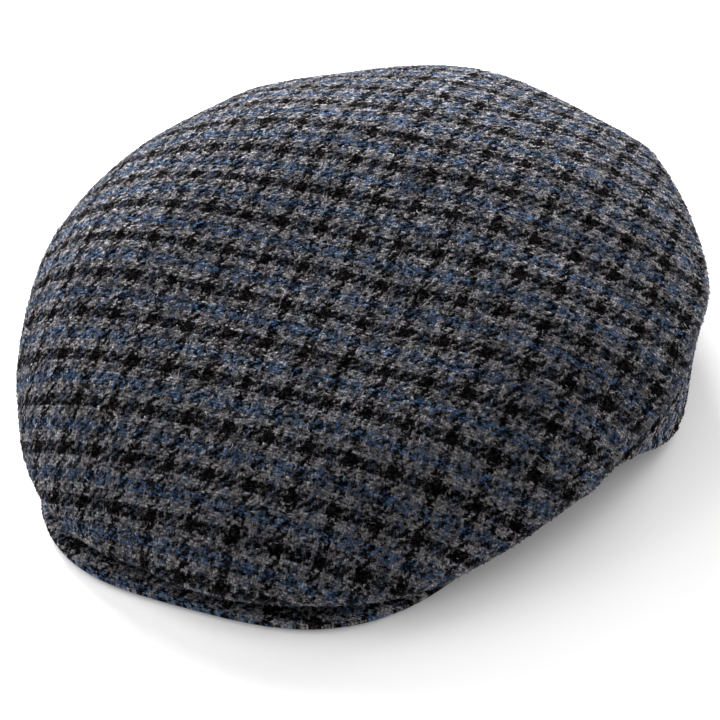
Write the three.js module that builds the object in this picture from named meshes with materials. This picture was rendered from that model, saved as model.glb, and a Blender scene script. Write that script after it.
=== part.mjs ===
// A flat cap in woven wool cloth, lying on a table as it rests by itself.
//
// Millimetres, +Z up. The peak points to -Y and the wearer's left side is +X. The origin is on the table,
// under the middle of the cap. Every piece follows one form: around the crown's axis, at each turn from the
// front, a section runs from the middle of the top, over the fold at the widest line, and down the wall to
// the hem.

import * as THREE from "three";

// Driving dimensions

const CROWN_AXIS_Y = 20.4; // the crown's own axis stands this far behind the origin
const CLOTH = 2; // wall thickness of cloth with its turned seam allowances
const SEAM_GAP = 0.3; // space kept between neighbouring pieces
const TOP_HEIGHT = 63; // outside of the top over the crown's axis
const TOP_SLOPE = 0.2; // rise of the top towards the back, per millimetre
const BACK_SAG = 0.0014; // how fast the top bends down again behind the axis, per square millimetre
const SHOULDER_POWER = 0.72; // how tightly the top turns into the fold, below 1 is tighter
const FRONT_SWING = 0.055; // the front leads on the wearer's right, as a share of the sideways distance
const SWING_REACH = 130; // distance in front of the axis where that swing is full
const SWING_LIMIT = 1.2; // it grows no further beyond this share of that distance
const UNDER_CURVE = 1.35; // how the wall turns in under the fold: 1 is a quarter round, 2 is straight
const FRONT_UNDER_CURVE = 2; // the same over the peak, where the fold overhangs it as a lip

// One row for each section, by its turn from the front. Both sides of the cap use them.
// reach: axis to fold. fold: height of the fold. fullness: how long the top stays flat before it drops.
// hang: how far the wall hangs below the fold before it turns inwards. lean: how far it comes in on that way.
const SECTIONS = [
  { turn: 0, reach: 154, fold: 12, fullness: 6.8, hang: 0, lean: 0 },
  { turn: 30, reach: 146, fold: 10, fullness: 7.6, hang: 0, lean: 0 },
  { turn: 60, reach: 131, fold: 21, fullness: 6, hang: 3, lean: 0 },
  { turn: 78, reach: 128, fold: 26, fullness: 3.7, hang: 22, lean: 0 },
  { turn: 90, reach: 124, fold: 30, fullness: 2.6, hang: 24, lean: 1 },
  { turn: 120, reach: 120, fold: 31, fullness: 2.2, hang: 26, lean: 9 },
  { turn: 150, reach: 120, fold: 30, fullness: 1.85, hang: 26, lean: 10 },
  { turn: 180, reach: 112, fold: 40, fullness: 1.75, hang: 34, lean: 8 },
];

// Soft breaks in the shoulder, where the cloth buckles out or falls in.
// turn: where it is, positive on the wearer's left.
// spread: half width of the break in degrees. push: millimetres outwards at its middle.
const BREAKS = [
  { turn: -168, spread: 12, push: 1.4 },
  { turn: -147, spread: 8, push: -1.2 },
  { turn: -129, spread: 6, push: 1.6 },
  { turn: -116, spread: 8, push: -0.9 },
  { turn: -42, spread: 10, push: -0.8 },
  { turn: -6, spread: 8, push: -2.4 },
  { turn: 25, spread: 9, push: 2.4 },
  { turn: 46, spread: 8, push: 0.5 },
  { turn: 57, spread: 6, push: 1.1 },
  { turn: 99, spread: 7, push: 1.4 },
  { turn: 119, spread: 10, push: -0.9 },
  { turn: 141, spread: 6, push: 2.0 },
  { turn: 160, spread: 11, push: -1.4 },
];
const BREAK_START = 0.6; // share of the reach where the breaks begin to show
const BREAK_DEPTH = 20; // they fade out this far down the wall

// Head opening: an oval of 572 mm round, the inside of a 57 cm cap
const OPENING_HALF_WIDTH = 90;
const OPENING_HALF_LENGTH = 92;
const OPENING_SHIFT = 4; // its middle stands behind the crown's axis
const HEM_WIDTH = 8; // flat turned hem that lies on the table around the opening

// Peak
const PEAK_HALF_WIDTH = 91.5;
const PEAK_REACH = 153.5; // crown's axis to the peak's front edge
const PEAK_SQUARENESS = 3.14; // exponent of the peak's outline: 2 is an ellipse
const PEAK_THICKNESS = 5;
const PEAK_RISE = 11; // how much higher the peak is at the head than at its front edge
const PEAK_TIP_TURN = 65; // the peak ends here, measured from the front
const PEAK_EDGE_ROUND = 2.4; // how far in from the edge the peak's rounded edge reaches
const PEAK_EDGE_BLUNT = 0.25; // the edge's own flat, as a share of the thickness
const HEM_ON_PEAK = 0.94; // the wall ends on the peak at this share of the peak's outline
const ON_PEAK_UNTIL = 66; // turn up to which the wall stands on the peak
const ON_TABLE_FROM = 78; // turn from which the wall stands on the table

// Seam between top panel and side panels
const FRONT_HEM_TURN = 36; // in front of this turn the top panel is folded under down to the peak
const SEAM_AT_FOLD_TURN = 62; // behind this turn the seam runs just under the fold
const SEAM_DROP = 1; // how far under the fold it runs there
const LEVEL_SEAM_GAP = 1; // gap down the wall in front of that turn, where the wall's rims are long bevels
const PLAIN_GAP_TURN = 74; // turn from which the gap is the plain one
const SIDE_TIP_TURN = 43; // the side panels taper to their front tips here
const BACK_SEAM_TURN = 179.9; // the side panels meet at the middle of the back, a small gap apart

// Mesh fineness
const TURN_STEP = 5;
const TOP_RINGS = [0.2, 0.4, 0.55, 0.68, 0.78, 0.86, 0.92, 0.96, 0.985, 1];
const FRONT_HEM_ROWS = 4;
const SIDE_ROWS = 8;
const PEAK_ROWS = [0, 0.3, 0.6, 0.85];
const PEAK_EDGE_ROWS = [1, 0.6, 0.3, 0.1, 0];

const CLOTH_COLOUR = 0x3d3f45;

// Small helpers

const radians = THREE.MathUtils.degToRad;
const clamp = THREE.MathUtils.clamp;
const lerp = THREE.MathUtils.lerp;
const smoothstep = THREE.MathUtils.smoothstep;

// Value of one column of SECTIONS at a turn: a smooth cubic through the rows, mirrored past both ends.
function sectionValue(turn, column) {
  const t = Math.abs(turn);
  const last = SECTIONS.length - 1;
  let row = 0;
  while (row < last - 1 && t >= SECTIONS[row + 1].turn) row++;
  const a = SECTIONS[row];
  const b = SECTIONS[row + 1];
  const before = row > 0 ? SECTIONS[row - 1] : { ...b, turn: -b.turn };
  const after = row + 2 <= last ? SECTIONS[row + 2] : { ...a, turn: 360 - a.turn };
  const span = b.turn - a.turn;
  const slopeA = (b[column] - before[column]) / (b.turn - before.turn);
  const slopeB = (after[column] - a[column]) / (after.turn - a.turn);
  const u = (t - a.turn) / span;
  return (
    (2 * u ** 3 - 3 * u ** 2 + 1) * a[column] +
    (u ** 3 - 2 * u ** 2 + u) * span * slopeA +
    (3 * u ** 2 - 2 * u ** 3) * b[column] +
    (u ** 3 - u ** 2) * span * slopeB
  );
}

// Millimetres that the shoulder breaks push the cloth outwards at a turn.
function breakPush(turn) {
  let push = 0;
  for (const bend of BREAKS) {
    const away = THREE.MathUtils.euclideanModulo(turn - bend.turn + 180, 360) - 180;
    push += bend.push * Math.exp(-((away / bend.spread) ** 2));
  }
  return push;
}

// A point at a distance from the crown's axis, at a turn and height, with the front swung to one side.
function place(turn, distance, height) {
  const x = distance * Math.sin(radians(turn));
  const y = -distance * Math.cos(radians(turn));
  const swing = FRONT_SWING * x * clamp(-y / SWING_REACH, 0, SWING_LIMIT);
  return new THREE.Vector3(x, y + swing + CROWN_AXIS_Y, height);
}

// Axis to the edge of the head opening, an oval that isn't centred on the axis.
function openingReach(turn) {
  const s = Math.sin(radians(turn));
  const c = -Math.cos(radians(turn));
  const a = (s / OPENING_HALF_WIDTH) ** 2 + (c / OPENING_HALF_LENGTH) ** 2;
  const b = (-2 * c * OPENING_SHIFT) / OPENING_HALF_LENGTH ** 2;
  const d = (OPENING_SHIFT / OPENING_HALF_LENGTH) ** 2 - 1;
  return (-b + Math.sqrt(b * b - 4 * a * d)) / (2 * a);
}

// Axis to the peak's outer edge.
function peakReach(turn) {
  const s = Math.abs(Math.sin(radians(turn))) / PEAK_HALF_WIDTH;
  const c = Math.abs(Math.cos(radians(turn))) / PEAK_REACH;
  return (s ** PEAK_SQUARENESS + c ** PEAK_SQUARENESS) ** (-1 / PEAK_SQUARENESS);
}

// Height of the peak's under face at a distance from the axis: level at its edge, arched over the forehead.
function peakUnderside(turn, distance) {
  const arch = Math.cos(radians((90 * clamp(turn, -PEAK_TIP_TURN, PEAK_TIP_TURN)) / PEAK_TIP_TURN)) ** 2;
  const width = Math.max(peakReach(turn) - openingReach(turn), 1);
  return PEAK_RISE * arch * clamp((peakReach(turn) - distance) / width, 0, 1);
}

// Top panel's outer face at a share of the reach. depth moves inwards to the lining side.
function topPoint(turn, share, depth) {
  const reach = sectionValue(turn, "reach") + breakPush(turn) * smoothstep(share, BREAK_START, 1) - depth;
  const fold = sectionValue(turn, "fold");
  const distance = share * reach;
  const y = -distance * Math.cos(radians(turn));
  const flat = TOP_HEIGHT - depth + TOP_SLOPE * y - BACK_SAG * Math.max(y, 0) ** 2;
  const lift = Math.max(1 - share ** sectionValue(turn, "fullness"), 0) ** SHOULDER_POWER;
  return place(turn, distance, lerp(fold, flat, lift));
}

// Where the wall ends: on the peak at the front, on the table elsewhere. flat is the width of its level hem.
function wallEnd(turn) {
  const onTable = smoothstep(Math.abs(turn), ON_PEAK_UNTIL, ON_TABLE_FROM);
  const onPeak = peakReach(turn) * HEM_ON_PEAK;
  return {
    reach: lerp(onPeak, openingReach(turn), onTable),
    height: lerp(peakUnderside(turn, onPeak) + PEAK_THICKNESS + SEAM_GAP, 0, onTable),
    flat: HEM_WIDTH * onTable,
  };
}

// The wall below the fold as three lengths: hanging, turning in, and lying flat.
function wallLengths(turn, depth) {
  const reach = sectionValue(turn, "reach") - depth;
  const fold = sectionValue(turn, "fold");
  const end = wallEnd(turn);
  const hang = clamp(sectionValue(turn, "hang"), 0, fold - end.height - CLOTH - 1);
  const foot = reach - Math.max(sectionValue(turn, "lean"), 0);
  const turnIn = Math.hypot(foot - end.reach - end.flat, fold - hang - end.height);
  return { reach, foot, fold, end, hang, turnIn, total: hang + turnIn + end.flat };
}

// A point of the wall. share runs from 0 at the fold to 1 at the hem, by length along the wall.
function wallPoint(turn, share, depth) {
  const { reach, foot, fold, end, hang, turnIn, total } = wallLengths(turn, depth);
  const along = share * total;
  const push = breakPush(turn) * (1 - smoothstep(along, 0, BREAK_DEPTH));
  if (along <= hang) return place(turn, lerp(reach, foot, along / hang) + push, fold - along);
  const floor = end.height + depth;
  if (along >= hang + turnIn) return place(turn, end.reach + total - along, floor);
  const swing = ((along - hang) / turnIn) * (Math.PI / 2);
  const curve = lerp(FRONT_UNDER_CURVE, UNDER_CURVE, smoothstep(Math.abs(turn), FRONT_HEM_TURN, SEAM_AT_FOLD_TURN));
  const inwards = 1 - Math.cos(swing) ** curve;
  const down = Math.sin(swing) ** curve;
  return place(turn, lerp(foot, end.reach + end.flat, inwards) + push, lerp(fold - hang, floor, down));
}

// Share of the wall that belongs to the top panel: all over the peak, a narrow strip behind the temples.
function seamShare(turn) {
  const strip = SEAM_DROP / wallLengths(turn, 0).total;
  return lerp(1, strip, smoothstep(Math.abs(turn), FRONT_HEM_TURN, SEAM_AT_FOLD_TURN));
}

// Gap between top panel and side panel, measured down the wall.
function seamGap(turn) {
  return lerp(LEVEL_SEAM_GAP, SEAM_GAP, smoothstep(Math.abs(turn), SEAM_AT_FOLD_TURN, PLAIN_GAP_TURN));
}

// Closed body from two matching skins. Each skin is rows of points, all of the same length, and runs outwards
// from the crown's axis. pole closes both skins in the middle.
function shell(outer, inner, { closedRing, pole }) {
  const positions = [];
  const faces = [];
  const rowLength = outer[0].length;
  const rows = outer.length;
  const add = (point) => {
    positions.push(point.x, point.y, point.z);
    return positions.length / 3 - 1;
  };
  const skin = [outer, inner].map((layer) => layer.map((row) => row.map(add)));
  const next = (j) => (closedRing ? (j + 1) % rowLength : j + 1);
  const spans = closedRing ? rowLength : rowLength - 1;
  const quad = (a, b, c, d) => faces.push(a, b, c, a, c, d);
  for (let i = 0; i < rows - 1; i++) {
    for (let j = 0; j < spans; j++) {
      const n = next(j);
      quad(skin[0][i][j], skin[0][i + 1][j], skin[0][i + 1][n], skin[0][i][n]);
      quad(skin[1][i][j], skin[1][i][n], skin[1][i + 1][n], skin[1][i + 1][j]);
    }
  }
  const last = rows - 1;
  for (let j = 0; j < spans; j++) {
    const n = next(j);
    quad(skin[0][last][j], skin[1][last][j], skin[1][last][n], skin[0][last][n]);
    if (!pole) quad(skin[0][0][j], skin[0][0][n], skin[1][0][n], skin[1][0][j]);
  }
  if (pole) {
    const top = add(pole.outer);
    const under = add(pole.inner);
    for (let j = 0; j < spans; j++) {
      faces.push(top, skin[0][0][j], skin[0][0][next(j)]);
      faces.push(under, skin[1][0][next(j)], skin[1][0][j]);
    }
  }
  if (!closedRing) {
    for (let i = 0; i < rows - 1; i++) {
      const end = rowLength - 1;
      quad(skin[0][i][0], skin[1][i][0], skin[1][i + 1][0], skin[0][i + 1][0]);
      quad(skin[0][i][end], skin[0][i + 1][end], skin[1][i + 1][end], skin[1][i][end]);
    }
  }
  const geometry = new THREE.BufferGeometry();
  geometry.setAttribute("position", new THREE.Float32BufferAttribute(positions, 3));
  geometry.setIndex(faces);
  geometry.computeVertexNormals();
  return geometry;
}

function named(name, geometry) {
  const material = new THREE.MeshStandardMaterial({ color: CLOTH_COLOUR, roughness: 0.95, metalness: 0 });
  const mesh = new THREE.Mesh(geometry, material);
  mesh.name = name;
  return mesh;
}

// Turns from one end to the other, both included, at the common step between them.
function turnsBetween(from, to) {
  const turns = [from];
  const second = (Math.floor(from / TURN_STEP) + 1) * TURN_STEP;
  for (let turn = second; turn < to; turn += TURN_STEP) turns.push(turn);
  turns.push(to);
  return turns;
}

// The pieces

// One panel from the middle of the crown to just under the fold. Over the peak it is folded under as a hem.
function crownTop() {
  const turns = turnsBetween(-180, 180).slice(0, -1);
  const skin = (depth) => {
    const rows = TOP_RINGS.map((share) => turns.map((turn) => topPoint(turn, share, depth)));
    for (let row = 1; row <= FRONT_HEM_ROWS; row++) {
      rows.push(turns.map((turn) => wallPoint(turn, (row / FRONT_HEM_ROWS) * seamShare(turn), depth)));
    }
    return rows;
  };
  const pole = { outer: topPoint(0, 0, 0), inner: topPoint(0, 0, CLOTH) };
  return named("crown_top", shell(skin(0), skin(CLOTH), { closedRing: true, pole }));
}

// A side panel from the seam under the fold to the hem, from its front tip round to the middle of the back.
function sidePanel(name, fromTurn, toTurn) {
  const turns = turnsBetween(fromTurn, toTurn);
  const skin = (depth) => {
    const rows = [];
    for (let row = 0; row <= SIDE_ROWS; row++) {
      rows.push(
        turns.map((turn) => {
          const start = seamShare(turn) + seamGap(turn) / wallLengths(turn, depth).total;
          return wallPoint(turn, lerp(start, 1, row / SIDE_ROWS), depth);
        }),
      );
    }
    return rows;
  };
  return named(name, shell(skin(0), skin(CLOTH), { closedRing: false }));
}

// A stiff crescent covered in the same cloth, with a rounded edge.
function peak() {
  const turns = turnsBetween(-PEAK_TIP_TURN, PEAK_TIP_TURN);
  const middle = PEAK_THICKNESS / 2;
  const face = (side) => {
    const point = (turn, distance, half) =>
      place(turn, distance, peakUnderside(turn, distance) + middle + side * half);
    const rows = PEAK_ROWS.map((share) =>
      turns.map((turn) => {
        const edge = peakReach(turn) - PEAK_EDGE_ROUND;
        return point(turn, lerp(openingReach(turn), edge, share), middle);
      }),
    );
    for (const inset of PEAK_EDGE_ROWS) {
      const round = Math.sqrt(1 - (1 - inset) ** 2);
      const half = middle * lerp(PEAK_EDGE_BLUNT, 1, round);
      rows.push(turns.map((turn) => point(turn, peakReach(turn) - inset * PEAK_EDGE_ROUND, half)));
    }
    return rows;
  };
  return named("peak", shell(face(1), face(-1), { closedRing: false }));
}

const cap = new THREE.Group();
cap.name = "flat_cap";
cap.add(crownTop());
cap.add(sidePanel("side_left", SIDE_TIP_TURN, BACK_SEAM_TURN));
cap.add(sidePanel("side_right", -BACK_SEAM_TURN, -SIDE_TIP_TURN));
cap.add(peak());

export default cap;
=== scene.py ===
"""Looks of a flat cap in woven wool check, lying on a table as it rests by itself.

The cloth panels and the peak are built as closed meshes on the same form as the solids they stand for. At
each turn round the crown's axis, counted in degrees from the front, a section runs from the middle of the
top, over the fold at the widest line, and down the wall to the hem. Sizes are in millimetres where no other
unit is named, and become metres when a mesh is made.
"""

import math

import bpy
import numpy as np
from mathutils import Matrix


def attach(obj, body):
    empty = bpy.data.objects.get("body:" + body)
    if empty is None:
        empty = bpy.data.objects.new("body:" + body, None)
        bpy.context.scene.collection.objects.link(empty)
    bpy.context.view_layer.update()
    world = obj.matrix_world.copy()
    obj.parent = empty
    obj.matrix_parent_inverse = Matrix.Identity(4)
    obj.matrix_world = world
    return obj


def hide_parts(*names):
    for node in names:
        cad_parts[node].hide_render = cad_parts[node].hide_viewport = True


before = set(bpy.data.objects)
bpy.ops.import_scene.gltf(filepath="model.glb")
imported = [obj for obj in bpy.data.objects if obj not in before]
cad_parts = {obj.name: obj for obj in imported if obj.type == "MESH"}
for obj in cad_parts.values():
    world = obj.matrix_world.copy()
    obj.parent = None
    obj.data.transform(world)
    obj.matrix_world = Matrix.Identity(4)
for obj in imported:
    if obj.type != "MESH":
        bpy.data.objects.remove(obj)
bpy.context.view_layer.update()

MM = 0.001  # metres in a millimetre

# ---------------------------------------------------------------- driving dimensions, as in the solids

CROWN_AXIS_Y = 20.4  # the crown's own axis stands this far behind the origin
CLOTH = 2.0  # wall thickness of the cloth
TOP_HEIGHT = 63.0  # outside of the top over the crown's axis
TOP_SLOPE = 0.2  # rise of the top towards the back
BACK_SAG = 0.0014  # how fast the top bends down again behind the axis, per square millimetre
SHOULDER_POWER = 0.72  # how tightly the top turns into the fold
FRONT_SWING = 0.055  # the front leads on the wearer's right, as a share of the sideways distance
SWING_REACH = 130.0  # distance in front of the axis at which the swing is whole
SWING_LIMIT = 1.2  # it grows no further than this share
UNDER_CURVE = 1.35  # how the wall turns in under the fold: 1 is a quarter round, 2 is straight
FRONT_UNDER_CURVE = 2.0  # the same over the peak, where the fold overhangs it as a lip
SEAM_GAP = 0.3  # gap between two pieces that are sewn together

SECTION_COLUMNS = ("turn", "reach", "fold", "fullness", "hang", "lean")
SECTIONS = np.array([
    (0, 154, 12, 6.8, 0, 0),
    (30, 146, 10, 7.6, 0, 0),
    (60, 131, 21, 6.0, 3, 0),
    (78, 128, 26, 3.7, 22, 0),
    (90, 124, 30, 2.6, 24, 1),
    (120, 120, 31, 2.2, 26, 9),
    (150, 120, 30, 1.85, 26, 10),
    (180, 112, 40, 1.75, 34, 8),
], float)

# Soft breaks in the shoulder: turn from the front and half width, both in degrees, and push outwards.
BREAKS = (
    (-168, 12, 1.4),
    (-147, 8, -1.2),
    (-129, 6, 1.6),
    (-116, 8, -0.9),
    (-42, 10, -0.8),
    (-6, 8, -2.4),
    (25, 9, 2.4),
    (46, 8, 0.5),
    (57, 6, 1.1),
    (99, 7, 1.4),
    (119, 10, -0.9),
    (141, 6, 2.0),
    (160, 11, -1.4),
)
BREAK_START = 0.6  # share of the reach where the breaks begin to show
BREAK_DEPTH = 20.0  # they fade out this far down the wall

OPENING_HALF_WIDTH = 90.0
OPENING_HALF_LENGTH = 92.0
OPENING_SHIFT = 4.0  # the opening's middle lies this far behind the crown's axis
HEM_WIDTH = 8.0  # level width of the hem on the table

PEAK_HALF_WIDTH = 91.5
PEAK_REACH = 153.5
PEAK_SQUARENESS = 3.14  # power of the peak's outline: 2 is an oval, more is squarer
PEAK_THICKNESS = 5.0
PEAK_RISE = 11.0  # height of the arch over the forehead
PEAK_TIP_TURN = 65.0
HEM_ON_PEAK = 0.94  # the crown's front ends at this share of the peak's reach
ON_PEAK_UNTIL = 66.0  # the wall ends on the peak up to this turn
ON_TABLE_FROM = 78.0  # and on the table from this one

FRONT_HEM_TURN = 36.0  # up to this turn the top panel runs down the whole wall
SEAM_AT_FOLD_TURN = 62.0  # and from this one it ends just under the fold
SEAM_DROP = 1.0  # the seam's distance below the fold
SIDE_TIP_TURN = 43.0
LEVEL_SEAM_GAP = 1.0  # gap down the wall in front of the turn where the seam reaches the fold
PLAIN_GAP_TURN = 74.0  # turn from which the gap is the plain one
BACK_SEAM_TURN = 179.9

# ---------------------------------------------------------------- finish of the cloth

REPEAT_THREADS = 16  # threads in one repeat of the check: four each of black, grey, blue and grey
WARP_THREAD = 14.9 / REPEAT_THREADS  # spacing of the threads that run front to back
WEFT_THREAD = 17.3 / REPEAT_THREADS  # spacing of the threads that run side to side
LAST_BLACK = 3.5  # black threads are the repeat's first ones, up to here
BLUE_MIDDLE = 9.5  # middle of the blue threads
BLUE_HALF = 1.6  # and they reach this far from it
CHECK_TURN = 2.7  # the cloth lies turned by this many degrees on the crown
CHECK_COLUMN_SHIFT = 4.7  # crown's axis to the left edge of a black column
CHECK_ROW_SHIFT = -7.7  # crown's axis to the near edge of a black row
NAP_LEAN = 28.0  # the nap is brushed this many degrees from the side-to-side threads

BLACK_WOOL = (0.009, 0.007, 0.007, 1)
GREY_WOOL = (0.285, 0.276, 0.292, 1)
BLUE_WARP_WOOL = (0.108, 0.140, 0.214, 1)
BLUE_WEFT_WOOL = (0.062, 0.127, 0.248, 1)
# Pale colour painted along the seam's ridge and the lip as a highlight, where their fuzz catches the light.
PAINTED_HIGHLIGHT_WOOL = (0.36, 0.38, 0.42, 1)


def smooth(x, low, high):
    """0 below low, 1 above high, and a smooth cubic between them."""
    t = np.clip((x - low) / (high - low), 0, 1)
    return t * t * (3 - 2 * t)


def mix(a, b, share):
    return a + (b - a) * share


def section(turn, column):
    """A column of SECTIONS at each turn: a cubic through the rows, mirrored past both ends."""
    turns = SECTIONS[:, 0]
    values = SECTIONS[:, SECTION_COLUMNS.index(column)]
    far_turns = np.concatenate([[-turns[1]], turns, [360 - turns[-2]]])
    far_values = np.concatenate([[values[1]], values, [values[-2]]])
    slopes = (far_values[2:] - far_values[:-2]) / (far_turns[2:] - far_turns[:-2])
    t = np.abs(turn)
    k = np.clip(np.searchsorted(turns, t, side="right") - 1, 0, len(turns) - 2)
    span = turns[k + 1] - turns[k]
    u = (t - turns[k]) / span
    return (
        (2 * u**3 - 3 * u**2 + 1) * values[k]
        + (u**3 - 2 * u**2 + u) * span * slopes[k]
        + (3 * u**2 - 2 * u**3) * values[k + 1]
        + (u**3 - u**2) * span * slopes[k + 1]
    )


def break_push(turn):
    """Sum of the bell-shaped breaks at each turn, in millimetres outwards."""
    total = np.zeros_like(turn)
    for at, spread, push in BREAKS:
        away = (turn - at + 180) % 360 - 180
        total += push * np.exp(-((away / spread) ** 2))
    return total


def place(turn, distance, height):
    """Points by distance from the crown's axis, turn and height, with the front swung to one side."""
    x = distance * np.sin(np.radians(turn))
    y = -distance * np.cos(np.radians(turn))
    swing = FRONT_SWING * x * np.clip(-y / SWING_REACH, 0, SWING_LIMIT)
    return np.stack(np.broadcast_arrays(x, y + swing + CROWN_AXIS_Y, height), axis=-1)


def opening_reach(turn):
    """Axis to the edge of the head opening, an oval that isn't centred on the axis."""
    s = np.sin(np.radians(turn))
    c = -np.cos(np.radians(turn))
    a = (s / OPENING_HALF_WIDTH) ** 2 + (c / OPENING_HALF_LENGTH) ** 2
    b = -2 * c * OPENING_SHIFT / OPENING_HALF_LENGTH**2
    d = (OPENING_SHIFT / OPENING_HALF_LENGTH) ** 2 - 1
    return (-b + np.sqrt(b * b - 4 * a * d)) / (2 * a)


def peak_reach(turn):
    """Axis to the peak's outer edge, a squarish oval."""
    s = np.abs(np.sin(np.radians(turn))) / PEAK_HALF_WIDTH
    c = np.abs(np.cos(np.radians(turn))) / PEAK_REACH
    return (s**PEAK_SQUARENESS + c**PEAK_SQUARENESS) ** (-1 / PEAK_SQUARENESS)


def peak_underside(turn, distance):
    """Height of the peak's under face: level at its edge and arched over the forehead."""
    inside = np.clip(turn, -PEAK_TIP_TURN, PEAK_TIP_TURN)
    arch = np.cos(np.radians(90 * inside / PEAK_TIP_TURN)) ** 2
    width = np.maximum(peak_reach(turn) - opening_reach(turn), 1)
    return PEAK_RISE * arch * np.clip((peak_reach(turn) - distance) / width, 0, 1)


def top_points(turn, share, depth):
    """The top panel at a share of the reach: a sloping top that turns down into the fold."""
    reach = section(turn, "reach") + break_push(turn) * smooth(share, BREAK_START, 1) - depth
    fold = section(turn, "fold")
    distance = share * reach
    y = -distance * np.cos(np.radians(turn))
    flat = TOP_HEIGHT - depth + TOP_SLOPE * y - BACK_SAG * np.maximum(y, 0) ** 2
    lift = np.maximum(1 - share ** section(turn, "fullness"), 0) ** SHOULDER_POWER
    return place(turn, distance, mix(fold, flat, lift))


def wall_end(turn):
    """Reach, height and level width of the wall's end: on the peak in front, on the table elsewhere."""
    on_table = smooth(np.abs(turn), ON_PEAK_UNTIL, ON_TABLE_FROM)
    on_peak = peak_reach(turn) * HEM_ON_PEAK
    height = mix(peak_underside(turn, on_peak) + PEAK_THICKNESS + SEAM_GAP, 0, on_table)
    return mix(on_peak, opening_reach(turn), on_table), height, HEM_WIDTH * on_table


def wall_lengths(turn, depth):
    """The wall's parts at each turn: reach, foot, fold height, hang, turned-in length and whole length."""
    reach = section(turn, "reach") - depth
    fold = section(turn, "fold")
    end_reach, end_height, end_flat = wall_end(turn)
    hang = np.clip(section(turn, "hang"), 0, fold - end_height - CLOTH - 1)
    foot = reach - np.maximum(section(turn, "lean"), 0)
    turn_in = np.hypot(foot - end_reach - end_flat, fold - hang - end_height)
    return reach, foot, fold, hang, turn_in, hang + turn_in + end_flat


def wall_points(turn, share, depth):
    """The wall by length from the fold: it hangs, turns in along a flattened quarter round, lies level."""
    reach, foot, fold, hang, turn_in, total = wall_lengths(turn, depth)
    end_reach, end_height, end_flat = wall_end(turn)
    floor = end_height + depth
    along = share * total
    push = break_push(turn) * (1 - smooth(along, 0, BREAK_DEPTH))
    swing = np.clip((along - hang) / turn_in, 0, 1) * (math.pi / 2)
    curve = mix(FRONT_UNDER_CURVE, UNDER_CURVE, smooth(np.abs(turn), FRONT_HEM_TURN, SEAM_AT_FOLD_TURN))
    inwards = 1 - np.cos(swing) ** curve
    down = np.sin(swing) ** curve
    curve_out = mix(foot, end_reach + end_flat, inwards) + push
    curve_up = mix(fold - hang, floor, down)
    hung_out = mix(reach, foot, np.clip(along / np.maximum(hang, 0.01), 0, 1)) + push
    hanging = along <= hang
    level = along >= hang + turn_in
    distance = np.where(hanging, hung_out, np.where(level, end_reach + total - along, curve_out))
    height = np.where(hanging, fold - along, np.where(level, floor, curve_up))
    return place(turn, distance, height)


def seam_share(turn):
    """Share of the wall that belongs to the top panel."""
    strip = SEAM_DROP / wall_lengths(turn, 0)[-1]
    return mix(1.0, strip, smooth(np.abs(turn), FRONT_HEM_TURN, SEAM_AT_FOLD_TURN))


# ---------------------------------------------------------------- meshes


def lengths_down(points):
    """Length along each column of a grid of points, from its first row."""
    steps = np.linalg.norm(np.diff(points, axis=0), axis=2)
    return np.concatenate([np.zeros((1, points.shape[1])), np.cumsum(steps, axis=0)])


def normals_of(points, ring):
    """Unit normals of a grid of points, from the cross product of its two directions. Rows run outwards."""
    down = np.gradient(points, axis=0)
    if ring:
        along = (np.roll(points, -1, axis=1) - np.roll(points, 1, axis=1)) / 2
    else:
        along = np.gradient(points, axis=1)
    normal = np.cross(down, along)
    return normal / np.maximum(np.linalg.norm(normal, axis=2, keepdims=True), 1e-9)


def grid_faces(rows, columns, ring, start, flip):
    """Quads of a grid of rows by columns of vertices that begins at vertex number start."""
    i, j = np.meshgrid(np.arange(rows - 1), np.arange(columns if ring else columns - 1), indexing="ij")
    n = (j + 1) % columns
    corners = [i * columns + j, (i + 1) * columns + j, (i + 1) * columns + n, i * columns + n]
    quads = np.stack(corners, axis=-1).reshape(-1, 4) + start
    return quads[:, ::-1] if flip else quads


def shell_faces(rows, columns, ring, pole):
    """Quads and triangles of a closed shell: two grids, their rims, and a pole in the middle of each."""
    count = rows * columns
    quads = [grid_faces(rows, columns, ring, 0, False), grid_faces(rows, columns, ring, count, True)]
    j = np.arange(columns if ring else columns - 1)
    n = (j + 1) % columns
    last = (rows - 1) * columns
    quads.append(np.stack([last + n, last + j, last + j + count, last + n + count], axis=-1))
    if not pole:
        quads.append(np.stack([j, n, n + count, j + count], axis=-1))
    if not ring:
        i = np.arange(rows - 1) * columns
        below = i + columns
        quads.append(np.stack([i, i + count, below + count, below], axis=-1))
        end = columns - 1
        quads.append(np.stack([i + end, below + end, below + end + count, i + end + count], axis=-1))
    tris = np.zeros((0, 3), int)
    if pole:
        top = np.full_like(j, 2 * count)
        outside = np.stack([top, j, n], axis=-1)
        inside = np.stack([top + 1, n + count, j + count], axis=-1)
        tris = np.concatenate([outside, inside])
    return np.concatenate(quads), tris


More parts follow.
